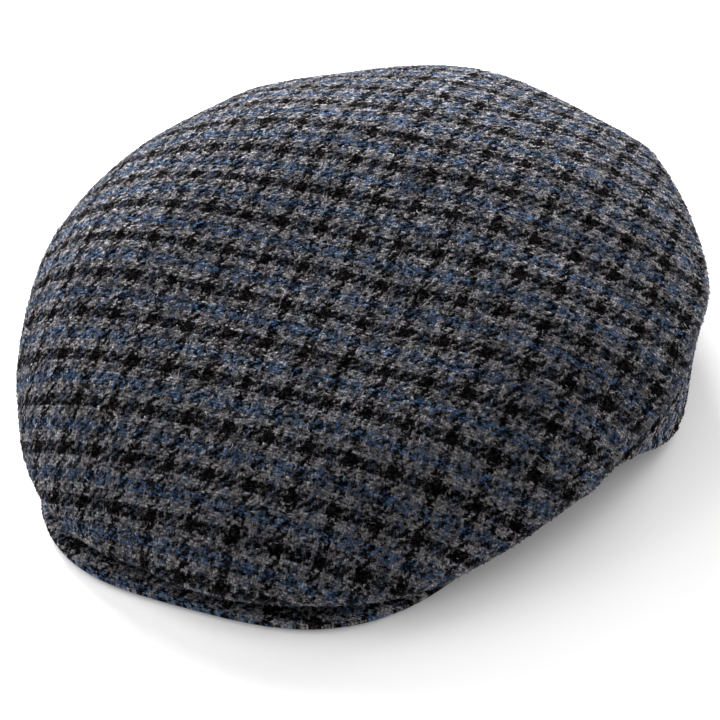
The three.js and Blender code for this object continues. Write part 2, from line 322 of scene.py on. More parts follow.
def make_mesh(name, points, quads, tris, cloth_uv, material, **values):
    """A mesh object from whole arrays. cloth_uv is a point's place on the flat cloth, kept as a UV map.

    Each of values is one number for each point, kept as an attribute under its own name.
    """
    mesh = bpy.data.meshes.new(name)
    corners = np.concatenate([quads.ravel(), tris.ravel()]).astype(np.int32)
    sizes = np.concatenate([np.full(len(quads), 4), np.full(len(tris), 3)])
    starts = np.concatenate([[0], np.cumsum(sizes)[:-1]]).astype(np.int32)
    mesh.vertices.add(len(points))
    mesh.vertices.foreach_set("co", (points * MM).astype(np.float32).ravel())
    mesh.loops.add(len(corners))
    mesh.loops.foreach_set("vertex_index", corners)
    mesh.polygons.add(len(sizes))
    mesh.polygons.foreach_set("loop_start", starts)
    layer = mesh.uv_layers.new(name="cloth")
    layer.data.foreach_set("uv", (cloth_uv[corners] * MM).astype(np.float32).ravel())
    mesh.update(calc_edges=True)
    mesh.validate()
    mesh.shade_smooth()
    for key, numbers in values.items():
        mesh.attributes.new(key, "FLOAT", "POINT").data.foreach_set("value", numbers.astype(np.float32))
    mesh.materials.append(material)
    piece = bpy.data.objects.new(name, mesh)
    bpy.context.scene.collection.objects.link(piece)
    return piece


EDGE_ROLL = 1.2  # width over which a turned edge rounds off
EDGE_DEPTH = 0.9  # how far it rolls under
EDGE_RIDGE = 0.9  # height of the ridge that the seam allowance raises
EDGE_RIDGE_AT = 1.7  # its distance from the edge
EDGE_RIDGE_WIDTH = 1.2
SEAM_STEP = 0.8  # the side panel lies this far under the top panel's edge
SEAM_STEP_WIDTH = 5.0
SEAM_STEP_NEEDS = (4.0, 10.0)  # the step fades in where the panel is this wide
# Painted highlight along turned edges, where the fuzz catches the light:
HIGHLIGHT_WIDTH = 1.2
SEAM_HIGHLIGHT_FROM = (52.0, 64.0)  # the seam's edge carries the painted highlight beyond these turns, the lip before them
LIP_HIGHLIGHT = 0.35  # the lip carries this share of the painted highlight


def turned_edge(distance):
    """Offset of the face near a sewn or turned edge: it rolls under at the edge, behind a low ridge."""
    near = np.clip(1 - distance / EDGE_ROLL, 0, 1)
    rolled = -EDGE_DEPTH * (1 - np.sqrt(1 - near**2))
    ridge = EDGE_RIDGE * np.exp(-(((distance - EDGE_RIDGE_AT) / EDGE_RIDGE_WIDTH) ** 2))
    return rolled + ridge


# Swellings and hollows of the crown: x, y, half length, half width, degrees turned, rise.
SWELLINGS = np.array([
    (50, -72, 42, 14, 17, 1.3),
    (50, -34, 13, 11, 0, -0.8),
    (70, 13, 14, 12, 0, -0.8),
])


def swelling(points):
    """Soft swellings and hollows of the crown, seen from above: a sum of bells, each a turned oval."""
    total = np.zeros(points.shape[:-1])
    for x, y, half_length, half_width, turned, rise in SWELLINGS:
        c = math.cos(math.radians(turned))
        s = math.sin(math.radians(turned))
        along = c * (points[..., 0] - x) + s * (points[..., 1] - y)
        across = c * (points[..., 1] - y) - s * (points[..., 0] - x)
        total += rise * np.exp(-((along / half_length) ** 2) - (across / half_width) ** 2)
    return total


LONG_WAVES = 0.28  # heights of the cloth's own unevenness
MIDDLE_WAVES = 0.16
SHORT_WAVES = 0.07


def unevenness(points):
    """Slight unevenness of soft cloth: a sum of waves over the surface, about half a millimetre high."""
    x, y, z = np.moveaxis(points, -1, 0)
    waves = LONG_WAVES * np.sin(x / 17 + 0.6 * np.sin(y / 23)) * np.cos(y / 21 + 0.4)
    waves += MIDDLE_WAVES * np.sin(x / 8.3 - y / 11 + 1.3) * np.cos(z / 9 + x / 13)
    waves += SHORT_WAVES * np.sin(x / 3.9 + y / 5.1) * np.sin(y / 4.3 - z / 5)
    return waves


def fit_for_form(name, node, points, quads, tris, cloth_uv, material, rubbed):
    """A cloth piece in place of its solid; the last argument, per point, is 1 where a highlight is painted.
    """
    piece = make_mesh(name, points, quads, tris, cloth_uv, material, rubbed=rubbed)
    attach(piece, "root")
    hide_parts(node)
    return piece


# ---------------------------------------------------------------- the pieces

SIDE_COLUMN_SHIFT = 7.4
SIDE_ROW_SHIFT = 3.9  # and from its seam
PEAK_COLUMN_SHIFT = 2.8
# The peak's rows lie so that a black row of the check falls near the crease under the crown's lip, darkening
# it partly as painted shade.
PEAK_ROW_SHIFT = 6.4
PEAK_WRAP = 3.0
PEAK_WRAP_PULL = 0.8  # by this much for each millimetre

CROWN_COLUMNS = 400
CROWN_FLAT_RINGS = 44
CROWN_SHOULDER_RINGS = 40
CROWN_WALL_ROWS = 12
CROWN_SHOULDER_START = 0.75  # share of the reach where the shoulder's closer rings begin
CROWN_CALM_EDGE = 8.0  # the swellings fade out this near the seam
SIDE_COLUMNS = 300
SIDE_ROWS = 44
SIDE_CALM_EDGE = 6.0  # the unevenness fades out this near an edge, and over this width above the hem
PEAK_COLUMNS = 240
PEAK_ROWS = 40
PEAK_EDGE_ROWS = 12
PEAK_EDGE_ROUND = 2.4  # width of the peak's rounded edge
PEAK_EDGE_BLUNT = 0.12  # share of its thickness that is left upright

# Where shaping has pulled the crown's check along the cloth: x, y, reach, pull across, pull along.
EASINGS = np.array([
    (29, -23, 26, 1.2, -1.7),
    (100, 8, 28, 0.2, -2.8),
    (35, -112, 26, 1.4, 0.2),
    (-12, -115, 14, -1.2, 0.1),
    (0, 115, 50, 1.3, -0.8),
])


def eased(points):
    """How far shaping has pulled the check along the cloth at each point: a sum of round bells."""
    total = np.zeros(points.shape[:-1] + (2,))
    for x, y, reach, across, along in EASINGS:
        bell = np.exp(-((points[..., 0] - x) ** 2 + (points[..., 1] - y) ** 2) / reach**2)
        total += bell[..., None] * (across, along)
    return total


def crown_cloth_uv(turn, points, length):
    """The check spreads from the crown's middle: length from there, in the direction seen from above."""
    edge = points[CROWN_FLAT_RINGS + CROWN_SHOULDER_RINGS - 1]
    heading = np.arctan2(edge[:, 1] - CROWN_AXIS_Y, edge[:, 0])
    across = length * np.cos(heading)
    along = length * np.sin(heading)
    c = math.cos(math.radians(CHECK_TURN))
    s = math.sin(math.radians(CHECK_TURN))
    u = c * across + s * along - CHECK_COLUMN_SHIFT
    v = c * along - s * across - CHECK_ROW_SHIFT
    return np.stack([u, v], axis=-1) - eased(points)


def crown_skin(depth):
    """Grid of the top panel's skin: rings from near the middle to the fold, then rows down to the seam."""
    turn = np.linspace(-180, 180, CROWN_COLUMNS, endpoint=False)
    flat = np.linspace(0, CROWN_SHOULDER_START, CROWN_FLAT_RINGS + 1)[1:]
    near = np.linspace(0, 1, CROWN_SHOULDER_RINGS + 1)[1:]
    shoulder = 1 - (1 - CROWN_SHOULDER_START) * (1 - near) ** 2
    rings = np.concatenate([flat, shoulder])[:, None]
    down = np.linspace(0, 1, CROWN_WALL_ROWS + 1)[1:, None]
    top = top_points(turn[None, :], rings, depth)
    wall = wall_points(turn[None, :], down * seam_share(turn)[None, :], depth)
    return turn, np.concatenate([top, wall])


def crown_piece(material):
    """The top panel, one cloth from the middle of the crown to just under the fold."""
    turn, outer = crown_skin(0)
    inner = crown_skin(CLOTH)[1]
    pole = top_points(np.zeros(1), np.zeros(1), 0)
    inner_pole = top_points(np.zeros(1), np.zeros(1), CLOTH)
    length = lengths_down(outer) + np.linalg.norm(outer[0] - pole, axis=1)
    to_edge = length[-1] - length
    normal = normals_of(outer, True)
    calm = smooth(to_edge, 0, CROWN_CALM_EDGE)
    lift = turned_edge(to_edge) + (unevenness(outer) + swelling(outer)) * calm
    uv = crown_cloth_uv(turn, outer, length)
    fold = length[CROWN_FLAT_RINGS + CROWN_SHOULDER_RINGS - 1]
    # Painted highlight: pale along the seam's ridge beyond the side tips, and fainter along the lip in front.
    beside = smooth(np.abs(turn), *SEAM_HIGHLIGHT_FROM)
    at_seam = np.exp(-(((to_edge - EDGE_RIDGE_AT) / HIGHLIGHT_WIDTH) ** 2)) * beside
    at_lip = np.exp(-(((length - fold) / HIGHLIGHT_WIDTH) ** 2)) * (1 - beside)
    rubbed = at_seam + at_lip * LIP_HIGHLIGHT
    rubbed_points = np.concatenate([rubbed.ravel(), np.zeros(rubbed.size + 2)])
    outer = outer + normal * lift[..., None]
    points = np.concatenate([outer.reshape(-1, 3), inner.reshape(-1, 3), pole, inner_pole])
    pole_uv = np.array([[-CHECK_COLUMN_SHIFT, -CHECK_ROW_SHIFT]])
    uvs = np.concatenate([uv.reshape(-1, 2), uv.reshape(-1, 2), pole_uv, pole_uv])
    quads, tris = shell_faces(*outer.shape[:2], True, True)
    cloth = fit_for_form("crown_top_cloth", "crown_top", points, quads, tris, uvs, material, rubbed_points)
    return outer, uv, True, rubbed


def side_skin(turn, depth):
    """Grid of a side panel's skin from the seam under the fold to the hem."""
    gap = mix(LEVEL_SEAM_GAP, SEAM_GAP, smooth(np.abs(turn), SEAM_AT_FOLD_TURN, PLAIN_GAP_TURN))
    start = seam_share(turn) + gap / wall_lengths(turn, depth)[-1]
    down = np.linspace(0, 1, SIDE_ROWS + 1)[:, None]
    return wall_points(turn[None, :], mix(start[None, :], 1.0, down), depth)


def side_piece(name, node, from_turn, to_turn, material):
    """A side panel from its front tip round to the middle of the back."""
    turn = np.linspace(from_turn, to_turn, SIDE_COLUMNS)
    outer = side_skin(turn, 0)
    inner = side_skin(turn, CLOTH)
    length = lengths_down(outer)
    to_edge = np.minimum(length, length[-1] - length)
    normal = normals_of(outer, False)
    free = smooth(length[-1] - length, HEM_WIDTH, HEM_WIDTH + SIDE_CALM_EDGE)
    step = -SEAM_STEP * (1 - smooth(length, 0, SEAM_STEP_WIDTH)) * smooth(length[-1], *SEAM_STEP_NEEDS)
    lift = (step + unevenness(outer) * smooth(to_edge, 0, SIDE_CALM_EDGE)) * free
    around = np.concatenate([[0], np.cumsum(np.linalg.norm(np.diff(outer[0], axis=0), axis=1))])
    along_seam = np.broadcast_arrays(around[None, :] + SIDE_COLUMN_SHIFT, length)[0]
    uv = np.stack([along_seam, SIDE_ROW_SHIFT - length], axis=-1)
    outer = outer + normal * lift[..., None]
    points = np.concatenate([outer.reshape(-1, 3), inner.reshape(-1, 3)])
    uvs = np.concatenate([uv.reshape(-1, 2), uv.reshape(-1, 2)])
    quads, tris = shell_faces(*outer.shape[:2], False, False)
    cloth = fit_for_form(name, node, points, quads, tris, uvs, material, np.zeros(len(points)))
    return outer, uv, False, np.zeros_like(length)


def peak_face(turn, side):
    """Grid of the peak's upper or under face, with the edge rounded as a half oval."""
    middle = PEAK_THICKNESS / 2
    share = np.linspace(0, 1, PEAK_ROWS + 1)[:-1, None]
    edge = (peak_reach(turn) - PEAK_EDGE_ROUND)[None, :]
    board = mix(opening_reach(turn)[None, :], edge, share)
    around = np.linspace(0, math.pi / 2, PEAK_EDGE_ROWS + 1)[:, None]
    rounded = edge + PEAK_EDGE_ROUND * np.sin(around)
    distance = np.concatenate([board, rounded])
    half = np.concatenate([np.ones_like(share), mix(PEAK_EDGE_BLUNT, 1, np.cos(around))])
    height = peak_underside(turn[None, :], distance) + middle + side * middle * half
    return place(turn[None, :], distance, height)


def peak_piece(material):
    """A stiff crescent covered in the same cloth."""
    turn = np.linspace(-PEAK_TIP_TURN, PEAK_TIP_TURN, PEAK_COLUMNS)
    upper = peak_face(turn, 1)
    under = peak_face(turn, -1)
    length = lengths_down(upper)
    uv = np.stack([upper[..., 0] + PEAK_COLUMN_SHIFT, upper[..., 1] + PEAK_ROW_SHIFT], axis=-1)
    uv[..., 1] -= np.clip(length - length[-1] + PEAK_WRAP, 0, None) * PEAK_WRAP_PULL
    points = np.concatenate([upper.reshape(-1, 3), under.reshape(-1, 3)])
    uvs = np.concatenate([uv.reshape(-1, 2), uv.reshape(-1, 2)])
    quads, tris = shell_faces(*upper.shape[:2], False, False)
    fit_for_form("peak_cloth", "peak", points, quads, tris, uvs, material, np.zeros(len(points)))
    return upper, uv, False, np.zeros_like(length)


# ---------------------------------------------------------------- the nap: loose wool fibres

CROWN_WISPS = 31000
CROWN_CURLS = 8000
CROWN_FUZZ = 7500
SIDE_WISPS = 6000
PEAK_WISPS = 6000
# Kinds of fibre: ranges of length, width and how high the end lifts, bow as a share of the length, and bends.
WISP = {"length": (0.9, 2.2), "width": (0.25, 0.6), "lift": (0.02, 0.35), "bow": 0.16, "bends": 1}
CURL = {"length": (1.8, 3.6), "width": (0.15, 0.4), "lift": (0.1, 0.6), "bow": 0.2, "bends": 2}
FUZZ = {"length": (1.8, 4.2), "width": (0.05, 0.09), "lift": (0.5, 1.5), "bow": 0.25, "bends": 2}
WISP_SPREAD = 50.0  # degrees that wisps stray from the way the nap is brushed
WISP_REACH = 0.3  # a wisp belongs to a yarn about this far from its root
STRAY_SHARE = 0.05  # so many wisps come from farther away
STRAY_REACH = 2.6
NAP_CLEAR_OF_TABLE = 2.5  # no fibre grows lower than this
ROOT_DEPTH = 0.05  # a fibre starts this far inside the cloth
FIBRE_RAISE = 0.2  # its middle stands higher by this share of its width


def brushed_way(grid, grid_uv):
    """Unit tangents of a grid along the brushed way of its cloth.

    The cloth map's two derivatives along the grid make a two by two matrix. Its inverse tells how far to go
    along the grid's rows and columns to move one step the brushed way on the cloth.
    """
    way = (math.cos(math.radians(NAP_LEAN)), math.sin(math.radians(NAP_LEAN)))
    down, along = np.gradient(grid, axis=(0, 1))
    uv_down, uv_along = np.gradient(grid_uv, axis=(0, 1))
    size = uv_down[..., 0] * uv_along[..., 1] - uv_down[..., 1] * uv_along[..., 0]
    size = np.where(np.abs(size) < 1e-9, 1e-9, size)
    a = (way[0] * uv_along[..., 1] - way[1] * uv_along[..., 0]) / size
    b = (way[1] * uv_down[..., 0] - way[0] * uv_down[..., 1]) / size
    tangent = a[..., None] * down + b[..., None] * along
    return tangent / np.maximum(np.linalg.norm(tangent, axis=2, keepdims=True), 1e-9)


def fibre_faces(rings):
    """Quads and triangles of one closed fibre: a start point, rings of three points, and an end point."""
    end = 1 + 3 * rings
    tris = [[0, 1 + (k + 1) % 3, 1 + k] for k in range(3)]
    tris += [[end, end - 3 + k, end - 3 + (k + 1) % 3] for k in range(3)]
    quads = []
    for ring in range(rings - 1):
        near = 1 + 3 * ring
        for k in range(3):
            n = (k + 1) % 3
            quads.append([near + k, near + n, near + 3 + n, near + 3 + k])
    return np.array(quads, int).reshape(-1, 4), np.array(tris)


def nap_piece(name, seed, skin, count, kind, material):
    """Wool fibres on a skin: each is a thin spindle, pointed at both ends and bent between them.

    A root is picked by area on the skin's grid. At a share s of its length a fibre lies at
    root + way length (s - 1/2) + up lift s + sideways bow sin(pi s bends), with a ring at the top of each
    bend. Its way is the brushed one, give or take a spread.
    """
    grid, grid_uv, ring, grid_rubbed = skin
    rng = np.random.default_rng(seed)
    columns = grid.shape[1]
    corner = grid[:-1, :-1]
    area = np.linalg.norm(np.cross(grid[1:, :-1] - corner, grid[:-1, 1:] - corner), axis=2)
    area = np.where(corner[..., 2] > NAP_CLEAR_OF_TABLE, area, 0).ravel()
    cell = rng.choice(len(area), count, p=area / area.sum())
    i, j = np.divmod(cell, columns - 1)
    s, t = rng.random((2, count, 1))

    def at_roots(field):
        near = mix(field[i, j], field[i + 1, j], s)
        far = mix(field[i, j + 1], field[i + 1, j + 1], s)
        return mix(near, far, t)

    root = at_roots(grid)
    up = at_roots(normals_of(grid, ring))
    up /= np.linalg.norm(up, axis=1, keepdims=True)
    brushed = at_roots(brushed_way(grid, grid_uv))
    brushed -= up * (brushed * up).sum(axis=1, keepdims=True)
    brushed /= np.linalg.norm(brushed, axis=1, keepdims=True)
    stray = np.radians(rng.normal(0, WISP_SPREAD, (count, 1)))
    heading = brushed * np.cos(stray) + np.cross(up, brushed) * np.sin(stray)
    sideways = np.cross(up, heading)
    length = rng.uniform(*kind["length"], (count, 1))
    width = rng.uniform(*kind["width"], (count, 1))
    lift = rng.uniform(*kind["lift"], (count, 1))
    bow = rng.uniform(-kind["bow"], kind["bow"], (count, 1)) * length
    bends = kind["bends"]
    angles = np.radians([90, 210, 330])[None, :, None]
    spokes = np.cos(angles) * sideways[:, None, :] + np.sin(angles) * up[:, None, :]
    points = [(root - heading * length / 2 - up * ROOT_DEPTH)[:, None]]
    for bend in range(bends):
        share = (bend + 0.5) / bends
        middle = root + heading * length * (share - 0.5) + up * (lift * share + width * FIBRE_RAISE)
        middle = middle + sideways * bow * (-1) ** bend
        points.append(middle[:, None] + spokes * width[:, None] / 2)
    points.append((root + heading * length / 2 + up * lift)[:, None])
    points = np.concatenate(points, axis=1)
    per_fibre = points.shape[1]
    reach = np.where(rng.random((count, 1)) < STRAY_SHARE, STRAY_REACH, WISP_REACH)
    uv = np.repeat(at_roots(grid_uv) + rng.normal(0, 1, (count, 2)) * reach, per_fibre, axis=0)
    first = np.arange(count)[:, None, None] * per_fibre
    quads, tris = fibre_faces(bends)
    quads = (first + quads).reshape(-1, 4)
    tris = (first + tris).reshape(-1, 3)
    tone = np.repeat(rng.random(count), per_fibre)
    # Each fibre takes the painted edge highlight of its root.
    rubbed = np.repeat(at_roots(grid_rubbed[..., None])[:, 0], per_fibre)
    piece = make_mesh(name, points.reshape(-1, 3), quads, tris, uv, material, tone=tone, rubbed=rubbed)
    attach(piece, "root")
    return piece


# ---------------------------------------------------------------- materials


class Wires:
    """Places nodes in a tree and joins them: every method returns the new node's output."""

    def __init__(self, tree):
        self.tree = tree

    def join(self, value, socket):
        if isinstance(value, bpy.types.NodeSocket):
            self.tree.links.new(value, socket)
        else:
            socket.default_value = value

    def math(self, operation, *values):
        node = self.tree.nodes.new("ShaderNodeMath")
        node.operation = operation
        for value, socket in zip(values, node.inputs):
            self.join(value, socket)
        return node.outputs[0]

    def vector(self, operation, *values, output=0):
        node = self.tree.nodes.new("ShaderNodeVectorMath")
        node.operation = operation
        for value, socket in zip(values, node.inputs):
            self.join(value, socket)
        return node.outputs[output]

    def scaled(self, vector, scale):
        node = self.tree.nodes.new("ShaderNodeVectorMath")
        node.operation = "SCALE"
        self.join(vector, node.inputs[0])
        self.join(scale, node.inputs["Scale"])
        return node.outputs[0]

    def parts(self, vector):
        node = self.tree.nodes.new("ShaderNodeSeparateXYZ")
        self.join(vector, node.inputs[0])
        return node.outputs

    def noise(self, vector, scale, detail, roughness, output="Fac"):
        node = self.tree.nodes.new("ShaderNodeTexNoise")
        self.join(vector, node.inputs["Vector"])
        self.join(scale, node.inputs["Scale"])
        self.join(detail, node.inputs["Detail"])
        self.join(roughness, node.inputs["Roughness"])
        return node.outputs[output]

    def span(self, value, low, high, to_low, to_high):
        node = self.tree.nodes.new("ShaderNodeMapRange")
        for number, socket in zip((value, low, high, to_low, to_high), node.inputs):
            self.join(number, socket)
        return node.outputs[0]

    def blend(self, factor, a, b, kind="MIX"):
        node = self.tree.nodes.new("ShaderNodeMix")
        node.data_type = "RGBA"
        node.blend_type = kind
        self.join(factor, node.inputs["Factor"])
        self.join(a, [s for s in node.inputs if s.name == "A" and s.type == "RGBA"][0])
        self.join(b, [s for s in node.inputs if s.name == "B" and s.type == "RGBA"][0])
        return [s for s in node.outputs if s.type == "RGBA"][0]

    def choose(self, factor, a, b):
        node = self.tree.nodes.new("ShaderNodeMix")
        node.data_type = "FLOAT"
        self.join(factor, node.inputs["Factor"])
        self.join(a, node.inputs["A"])
        self.join(b, node.inputs["B"])
        return node.outputs[0]


# Streaky noises of the wool: length along the brushed way, width across it, and a number that sets it apart.
STREAKS = {
    "slide": (1.1, 0.8, 3.1),
    "upper thread": (1.6, 1.1, 4.7),
    "melange": (1.4, 0.9, 11.3),
    "flecks": (1.1, 0.6, 9.1),
    "clumps": (1.7, 1.4, 7.7),
    "fine fibres": (0.7, 0.5, 1.9),
    "dye": (1.6, 0.9, 5.3),
    "moss": (2.4, 1.6, 6.1),
}
STREAK_ROUGHNESS = 0.6
RAGGED_SCALE = 1.3  # scale of the noise that makes the yarns' edges ragged, for each millimetre
TWILL_SHOW = 0.08  # how clearly the twill shows through the milled nap
GREY_IN_BLUE = 0.6  # how grey the palest fibres of the blue yarns are
MELANGE_RANGE = (0.48, 0.66)  # where the melange noise goes from blue to that grey
PALE_FLECKS = 0.25  # how pale the stray grey fibres are that show on black and blue yarns
FLECK_RANGE = (0.54, 0.7)
CLUMP_RANGE = (0.38, 0.58)  # where the clump noise goes from a gap to a full clump
CLUMP_SHADE = (0.02, 1.75)  # lightness in a gap and on a clump: partly painted shade in the gaps, partly the wool's random tone
FINE_SHADE = (0.85, 1.15)
PATCH_SCALE = 0.45
PATCH_SHADE = (0.9, 1.1)
SHADE_RANGE = (0.3, 0.7)  # most of a noise's values lie in here
PAINTED_GAP_SHADE = (0.15, 1.25)  # painted shade: lightness between the threads, where shade falls, and on a thread's back
BACK_ROUND = 0.6  # power of a thread's round back: less is flatter
BOW_LOW = 0.35  # height of a thread's back where it dives under, as a share of its middle
BLACK_UNDER_SHADE = 0.72  # how much of its light a pale warp thread keeps over a black weft
DYE_RANGE = (0.25, 0.75)  # where the dye and moss noises reach their ends
DYE_VARIATION = 0.14  # how far the fibres of one yarn run from warm to cool
MOSS_VARIATION = 0.1  # and from purple to green
BACK_HEIGHT = 0.35  # parts of the relief
CLUMP_HEIGHT = 1.6
FINE_HEIGHT = 0.35


def woven_check_group():
    """A milled two-and-two twill in a check of four black, four grey, four blue and four grey threads.

    The order is the same both ways. Threads are counted along the cloth's two directions. Where the
    difference of the two counts, taken in fours, is 0 or 1, the warp thread is likelier to lie on top, and
    elsewhere the weft. Milling has felted the cloth, so a streaky noise decides the rest. The place that is
    looked up strays along the brushed way by a streaky noise too, so each patch of colour ends in ragged
    wisps. The upper thread's round back and the clumps of its fibres give the height, and the colour is
    darkened by painted shade in the gaps between them.
    """
    group = bpy.data.node_groups.new("woven_check", "ShaderNodeTree")
    face = group.interface
    face.new_socket(name="Cloth", in_out="INPUT", socket_type="NodeSocketVector")
    for name in ("Warp Spacing", "Weft Spacing", "Brushing", "Raggedness", "Tone And Shade"):
        face.new_socket(name=name, in_out="INPUT", socket_type="NodeSocketFloat")
    for name in ("Black Yarn", "Grey Yarn", "Blue Warp", "Blue Weft"):
        face.new_socket(name=name, in_out="INPUT", socket_type="NodeSocketColor")
    face.new_socket(name="Color", in_out="OUTPUT", socket_type="NodeSocketColor")
    face.new_socket(name="Height", in_out="OUTPUT", socket_type="NodeSocketFloat")
    given = group.nodes.new("NodeGroupInput").outputs
    w = Wires(group)
    cloth = w.scaled(given["Cloth"], 1 / MM)

    lean = math.radians(NAP_LEAN)
    way = (math.cos(lean), math.sin(lean), 0)
    across_way = (-math.sin(lean), math.cos(lean), 0)
    along_nap = w.vector("DOT_PRODUCT", cloth, way, output="Value")
    across_nap = w.vector("DOT_PRODUCT", cloth, across_way, output="Value")

    def streaks(name, detail=2.0):
        """Noise drawn out along the brushed way."""
        length, width, seed = STREAKS[name]
        node = group.nodes.new("ShaderNodeCombineXYZ")
        w.join(w.math("DIVIDE", along_nap, length), node.inputs[0])
        w.join(w.math("DIVIDE", across_nap, width), node.inputs[1])
        w.join(seed, node.inputs[2])
        return w.noise(node.outputs[0], 1.0, detail, STREAK_ROUGHNESS)

    slide = w.math("MULTIPLY", w.math("SUBTRACT", streaks("slide"), 0.5), given["Brushing"])
    wander = w.noise(cloth, RAGGED_SCALE, 2.0, STREAK_ROUGHNESS, "Color")
    wander = w.vector("SUBTRACT", wander, (0.5, 0.5, 0.5))
    ragged = w.vector("ADD", cloth, w.scaled(wander, given["Raggedness"]))
    place_of_yarn = w.vector("ADD", ragged, w.scaled(way, slide))

    x, y, _ = w.parts(place_of_yarn)
    warp = w.math("DIVIDE", x, given["Warp Spacing"])
    weft = w.math("DIVIDE", y, given["Weft Spacing"])
    warp_count = w.math("FLOOR", warp)
    weft_count = w.math("FLOOR", weft)
    step = w.math("FLOORED_MODULO", w.math("SUBTRACT", warp_count, weft_count), 4.0)
    twill = w.span(step, 1.49, 1.51, TWILL_SHOW, -TWILL_SHOW)
    warp_up = w.math("GREATER_THAN", w.math("ADD", streaks("upper thread"), twill), 0.5)

    grey_in_blue = w.span(streaks("melange"), *MELANGE_RANGE, 0, GREY_IN_BLUE)

    def yarn(count, blue):
        """Colour of a thread by its count, and whether it is black."""
        order = w.math("FLOORED_MODULO", count, float(REPEAT_THREADS))
        is_black = w.math("LESS_THAN", order, LAST_BLACK)
        is_blue = w.math("COMPARE", order, BLUE_MIDDLE, BLUE_HALF)
        melange = w.blend(grey_in_blue, blue, given["Grey Yarn"])
        pale = w.blend(is_blue, given["Grey Yarn"], melange)
        return w.blend(is_black, pale, given["Black Yarn"]), is_black

    warp_colour, _ = yarn(warp_count, given["Blue Warp"])
    weft_colour, weft_black = yarn(weft_count, given["Blue Weft"])
    colour = w.blend(warp_up, weft_colour, warp_colour)
    flecks = w.span(streaks("flecks"), *FLECK_RANGE, 0, PALE_FLECKS)
    colour = w.blend(flecks, colour, given["Grey Yarn"])
    over_black = w.math("MULTIPLY", warp_up, weft_black)

    over_warp = w.math("FRACT", warp)
    over_weft = w.math("FRACT", weft)
    along_warp = w.math("MULTIPLY", w.math("ADD", w.math("SUBTRACT", 1.0, step), over_weft), 0.5)
    along_weft = w.math("MULTIPLY", w.math("ADD", w.math("SUBTRACT", step, 2.0), over_warp), 0.5)
    across = w.choose(warp_up, over_weft, over_warp)
    along = w.choose(warp_up, along_weft, along_warp)
    round_back = w.math("SINE", w.math("MULTIPLY", across, math.pi))
    bow = w.span(w.math("SINE", w.math("MULTIPLY", along, math.pi)), 0, 1, BOW_LOW, 1)
    back = w.math("POWER", w.math("MAXIMUM", w.math("MULTIPLY", round_back, bow), 0.001), BACK_ROUND)

    clumps = streaks("clumps")
    fine_fibres = streaks("fine fibres", 1.0)
    patches = w.noise(cloth, PATCH_SCALE, 3.0, 0.7)
    # Lightness of clumps, fine fibres and patches: partly the wool's random tone, partly painted shade in the
    # gaps.
    light = w.span(clumps, *CLUMP_RANGE, *CLUMP_SHADE)
    tone_and_shade = w.math("MULTIPLY", light, w.span(fine_fibres, *SHADE_RANGE, *FINE_SHADE))
    tone_and_shade = w.math("MULTIPLY", tone_and_shade, w.span(patches, *SHADE_RANGE, *PATCH_SHADE))
    tone_and_shade = w.choose(given["Tone And Shade"], 1.0, tone_and_shade)
    # Painted shade: the colour darkens in the gaps between threads and clumps, and lightens on their backs.
    shade = w.math("MULTIPLY", tone_and_shade, w.span(back, 0, 1, *PAINTED_GAP_SHADE))
    shade = w.math("MULTIPLY", shade, w.span(over_black, 0, 1, 1, BLACK_UNDER_SHADE))
    dye = w.span(streaks("dye"), *DYE_RANGE, -DYE_VARIATION, DYE_VARIATION)
    tint = group.nodes.new("ShaderNodeCombineColor")
    w.join(w.math("MULTIPLY", shade, w.math("ADD", 1.0, dye)), tint.inputs[0])
    moss = w.span(streaks("moss"), *DYE_RANGE, 1 - MOSS_VARIATION, 1 + MOSS_VARIATION)
    w.join(w.math("MULTIPLY", shade, moss), tint.inputs[1])
    w.join(w.math("MULTIPLY", shade, w.math("SUBTRACT", 1.0, dye)), tint.inputs[2])
    colour = w.blend(1.0, colour, tint.outputs[0], "MULTIPLY")
    height = w.math("ADD", w.math("MULTIPLY", back, BACK_HEIGHT), w.math("MULTIPLY", clumps, CLUMP_HEIGHT))
    height = w.math("ADD", height, w.math("MULTIPLY", fine_fibres, FINE_HEIGHT))
    result = group.nodes.new("NodeGroupOutput").inputs
    w.join(colour, result["Color"])
    w.join(height, result["Height"])
    return group


WOOL_ROUGHNESS = 0.95
WOOL_SHEEN = 0.03
SHEEN_ROUGHNESS = 0.4
SHEEN_TINT = (0.75, 0.85, 1.0, 1)
HIGHLIGHT_PATCH_SCALE = 0.11  # patches of the painted edge highlight for each millimetre along an edge
HIGHLIGHT_PATCH_RANGE = (0.4, 0.6)  # where the noise goes from little to full painted highlight
HIGHLIGHT_LEAST = 0.15  # painted highlight that is left between the patches
HIGHLIGHT_HEIGHTS = (0.7, 1.4)  # relief from which and up to which the painted highlight grows
HIGHLIGHT_LOW = 0.25  # painted highlight in the gaps
NAP_TONE_AND_SHADE = 0.85  # how far wisps share the lightness of the clump they lie on, its random tone and painted shade alike
WISP_TONE_POWER = 0.75
WISP_TONES = (0.4, 1.5)  # lightness of the darkest and the palest wisp


def painted_highlight_share(w, place_on_cloth):
    """Painted highlight of edges that catch the light: the piece's own value, broken up by a slow noise."""
    rubbed = w.tree.nodes.new("ShaderNodeAttribute")
    rubbed.attribute_name = "rubbed"
    patches = w.noise(w.scaled(place_on_cloth, 1 / MM), HIGHLIGHT_PATCH_SCALE, 2.0, 0.6)
    return w.math("MULTIPLY", rubbed.outputs["Fac"], w.span(patches, *HIGHLIGHT_PATCH_RANGE, HIGHLIGHT_LEAST, 1.0))


